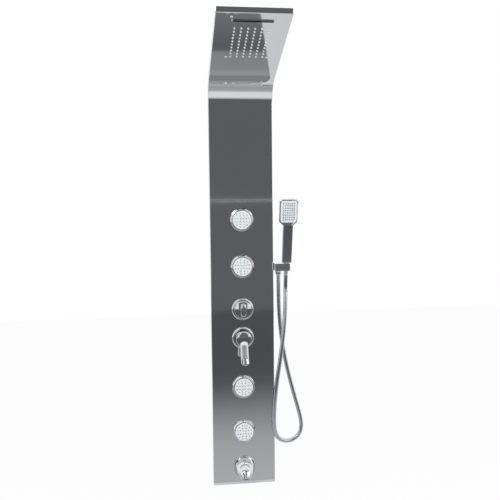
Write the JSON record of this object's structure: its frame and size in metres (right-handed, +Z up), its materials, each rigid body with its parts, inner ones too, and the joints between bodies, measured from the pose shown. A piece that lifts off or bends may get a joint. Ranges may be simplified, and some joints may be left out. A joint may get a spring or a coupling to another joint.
{
  "type": "shower panel column",
  "caption": "Bent sheet-metal shower panel with a rain and waterfall head, body jets, lever mixer, diverter knob, tub spout, and a hand shower on a flexible hose at its right side",
  "frame": {"origin": "centre of the upper wall bracket's two screw holes, on the wall plane", "axes": "+Z up along the panel, +Y into the wall, +X to the right as seen by the bather; the panel's face looks along -Y"},
  "size_m": [0.2959, 0.407, 1.4],
  "materials": {
    "dark_panel": "polished stainless sheet that mirrors a dim room",
    "chrome": "bright chrome plating",
    "hose_metal": "chromed metal hose",
    "white_face": "smooth white plastic",
    "black_rubber": "soft black rubber",
    "silicone": "light grey silicone",
    "grey_plastic": "moulded plastic",
    "water_box": "moulded plastic",
    "brass": "raw brass",
    "pipe_plastic": "plastic water pipe",
    "steel": "plain stainless steel"
  },
  "bodies": {
    "panel": {"block_nut": "brass", "block_washer": "black_rubber", "cartridge_nuts": "brass", "control_flanges": "chrome", "diverter_cartridge": "grey_plastic", "handset_pipe": "pipe_plastic", "hanger_bars": "steel", "head_cover": "dark_panel", "head_manifold": "water_box", "head_screws": "steel", "hose": "hose_metal", "hose_outlet_nut": "chrome", "jet_bodies": "chrome", "jet_gaskets": "black_rubber", "jet_nuts": "grey_plastic", "jet_pipes": "pipe_plastic", "lower_wall_bracket": "steel", "mixer_cartridge": "grey_plastic", "outlet_block": "chrome", "panel_shell": "dark_panel", "rain_nozzle_mat": "silicone", "rain_pipe": "pipe_plastic", "spout_aerator": "grey_plastic", "spout_body": "chrome", "spout_gasket": "black_rubber", "spout_nut": "brass", "spout_pipe": "pipe_plastic", "upper_wall_bracket": "steel", "valve_body": "brass", "waterfall_mouth": "water_box", "waterfall_pipe": "pipe_plastic"},
    "jet_1_seat": {"jet_1_seat": "grey_plastic"},
    "jet_1_disc": {"jet_1_face": "white_face"},
    "jet_2_seat": {"jet_2_seat": "grey_plastic"},
    "jet_2_disc": {"jet_2_face": "white_face"},
    "jet_3_seat": {"jet_3_seat": "grey_plastic"},
    "jet_3_disc": {"jet_3_face": "white_face"},
    "jet_4_seat": {"jet_4_seat": "grey_plastic"},
    "jet_4_disc": {"jet_4_face": "white_face"},
    "mixer_turret": {"mixer_carrier": "grey_plastic"},
    "mixer_lever": {"mixer_lever": "chrome", "mixer_stem": "brass"},
    "diverter_knob": {"diverter_knob": "chrome", "diverter_spindle": "brass"},
    "handset": {"handset_body": "chrome", "handset_face": "white_face", "handset_nozzles": "black_rubber", "hose_cone": "chrome"}
  },
  "joints": [
    {"name": "jet_1_swivel", "type": "hinge", "parent": "panel", "child": "jet_1_seat", "pos_m": [0, -0.0625, -0.275], "axis": [0, -1, 0], "continuous": true},
    {"name": "jet_1_tilt", "type": "hinge", "parent": "jet_1_seat", "child": "jet_1_disc", "pos_m": [0, -0.0625, -0.275], "axis": [1, 0, 0], "range_deg": [-8, 8]},
    {"name": "jet_2_swivel", "type": "hinge", "parent": "panel", "child": "jet_2_seat", "pos_m": [0, -0.0625, -0.422], "axis": [0, -1, 0], "continuous": true},
    {"name": "jet_2_tilt", "type": "hinge", "parent": "jet_2_seat", "child": "jet_2_disc", "pos_m": [0, -0.0625, -0.422], "axis": [1, 0, 0], "range_deg": [-8, 8]},
    {"name": "jet_3_swivel", "type": "hinge", "parent": "panel", "child": "jet_3_seat", "pos_m": [0, -0.0625, -0.809], "axis": [0, -1, 0], "continuous": true},
    {"name": "jet_3_tilt", "type": "hinge", "parent": "jet_3_seat", "child": "jet_3_disc", "pos_m": [0, -0.0625, -0.809], "axis": [1, 0, 0], "range_deg": [-8, 8]},
    {"name": "jet_4_swivel", "type": "hinge", "parent": "panel", "child": "jet_4_seat", "pos_m": [0, -0.0625, -0.955], "axis": [0, -1, 0], "continuous": true},
    {"name": "jet_4_tilt", "type": "hinge", "parent": "jet_4_seat", "child": "jet_4_disc", "pos_m": [0, -0.0625, -0.955], "axis": [1, 0, 0], "range_deg": [-8, 8]},
    {"name": "mixer_turn", "type": "hinge", "parent": "panel", "child": "mixer_turret", "pos_m": [0, -0.0685, -0.65], "axis": [0, -1, 0], "range_deg": [-45, 45]},
    {"name": "mixer_lift", "type": "hinge", "parent": "mixer_turret", "child": "mixer_lever", "pos_m": [0, -0.0685, -0.65], "axis": [-1, 0, 0], "range_deg": [0, 18]},
    {"name": "diverter_turn", "type": "hinge", "parent": "panel", "child": "diverter_knob", "pos_m": [0, -0.066, -0.558], "axis": [0, -1, 0], "continuous": true},
    {"name": "handset_lift_off", "type": "slide", "parent": "panel", "child": "handset", "axis": [0, -0.2419, 0.9703], "range_m": [0, 0.06], "deforming": ["hose"]}
  ]
}
